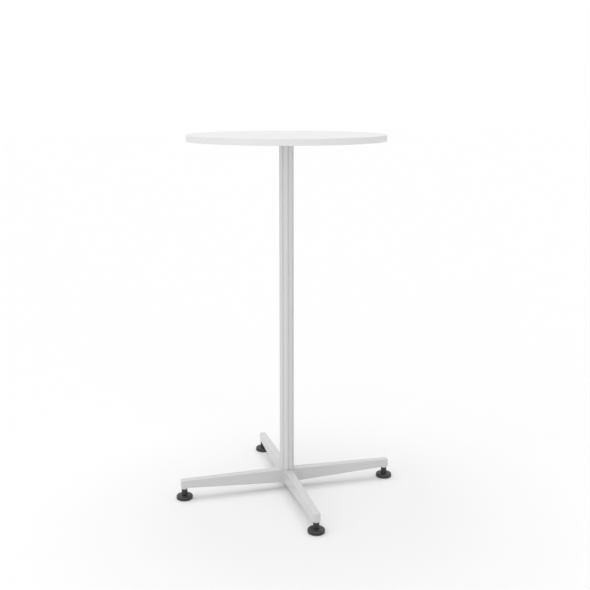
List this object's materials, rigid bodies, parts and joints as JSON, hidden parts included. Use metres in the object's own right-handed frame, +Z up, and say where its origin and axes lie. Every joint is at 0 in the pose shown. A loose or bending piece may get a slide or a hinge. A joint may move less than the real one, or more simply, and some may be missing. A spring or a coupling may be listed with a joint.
{
  "type": "standing meeting table",
  "caption": "Round white laminate top on a slim fluted silver column with a low star base on black levelling feet, for standing meetings.",
  "frame": {"origin": "on the floor, under the centre of the column", "axes": "+Z up along the column; the legs run along X and Y, the front leg along -Y and the right leg along +X"},
  "size_m": [0.7, 0.7, 1.11],
  "materials": {
    "white_laminate": "white laminate with a fine matt grain",
    "white_edge": "white plastic edge band, satin",
    "core_board": "raw particle board",
    "plate_coat": "silver grey powder coat",
    "column_silver": "extruded aluminium, satin silver grey",
    "base_silver": "cast aluminium with a fine silver grey powder coat",
    "zinc_steel": "zinc plated steel",
    "black_nylon": "moulded black nylon, satin",
    "sole_rubber": "soft dark rubber"
  },
  "bodies": {
    "table": {"tabletop_laminate": "white_laminate", "tabletop_backing": "white_laminate", "tabletop_edge_band": "white_edge", "tabletop_core": "core_board", "mounting_plate": "plate_coat", "column_extrusion": "column_silver", "star_base": "base_silver", "clamp_plate": "zinc_steel", "thread_insert_1": "zinc_steel", "plate_screw_1": "zinc_steel", "column_top_screw_1": "zinc_steel", "base_screw_1": "zinc_steel", "thread_insert_2": "zinc_steel", "plate_screw_2": "zinc_steel", "column_top_screw_2": "zinc_steel", "base_screw_2": "zinc_steel", "thread_insert_3": "zinc_steel", "plate_screw_3": "zinc_steel", "column_top_screw_3": "zinc_steel", "base_screw_3": "zinc_steel", "thread_insert_4": "zinc_steel", "plate_screw_4": "zinc_steel", "column_top_screw_4": "zinc_steel", "base_screw_4": "zinc_steel"},
    "foot_front": {"foot_pad_front": "black_nylon", "foot_sole_front": "sole_rubber"},
    "foot_screw_front": {"foot_stud_front": "zinc_steel", "foot_collar_front": "black_nylon"},
    "foot_right": {"foot_pad_right": "black_nylon", "foot_sole_right": "sole_rubber"},
    "foot_screw_right": {"foot_stud_right": "zinc_steel", "foot_collar_right": "black_nylon"},
    "foot_back": {"foot_pad_back": "black_nylon", "foot_sole_back": "sole_rubber"},
    "foot_screw_back": {"foot_stud_back": "zinc_steel", "foot_collar_back": "black_nylon"},
    "foot_left": {"foot_pad_left": "black_nylon", "foot_sole_left": "sole_rubber"},
    "foot_screw_left": {"foot_stud_left": "zinc_steel", "foot_collar_left": "black_nylon"}
  },
  "joints": [
    {"name": "foot_front_travel", "type": "slide", "parent": "table", "child": "foot_front", "axis": [0, 0, -1], "range_m": [0, 0.012]},
    {"name": "foot_front_turn", "type": "hinge", "parent": "foot_front", "child": "foot_screw_front", "pos_m": [0, -0.325, 0.03], "axis": [0, 0, -1], "range_deg": [0, 2880]},
    {"name": "foot_right_travel", "type": "slide", "parent": "table", "child": "foot_right", "axis": [0, 0, -1], "range_m": [0, 0.012]},
    {"name": "foot_right_turn", "type": "hinge", "parent": "foot_right", "child": "foot_screw_right", "pos_m": [0.325, 0, 0.03], "axis": [0, 0, -1], "range_deg": [0, 2880]},
    {"name": "foot_back_travel", "type": "slide", "parent": "table", "child": "foot_back", "axis": [0, 0, -1], "range_m": [0, 0.012]},
    {"name": "foot_back_turn", "type": "hinge", "parent": "foot_back", "child": "foot_screw_back", "pos_m": [0, 0.325, 0.03], "axis": [0, 0, -1], "range_deg": [0, 2880]},
    {"name": "foot_left_travel", "type": "slide", "parent": "table", "child": "foot_left", "axis": [0, 0, -1], "range_m": [0, 0.012]},
    {"name": "foot_left_turn", "type": "hinge", "parent": "foot_left", "child": "foot_screw_left", "pos_m": [-0.325, 0, 0.03], "axis": [0, 0, -1], "range_deg": [0, 2880]}
  ],
  "couplings": [
    {"joint": "foot_front_turn", "follows": "foot_front_travel", "rad_per_m": 4188.8},
    {"joint": "foot_right_turn", "follows": "foot_right_travel", "rad_per_m": 4188.8},
    {"joint": "foot_back_turn", "follows": "foot_back_travel", "rad_per_m": 4188.8},
    {"joint": "foot_left_turn", "follows": "foot_left_travel", "rad_per_m": 4188.8}
  ]
}
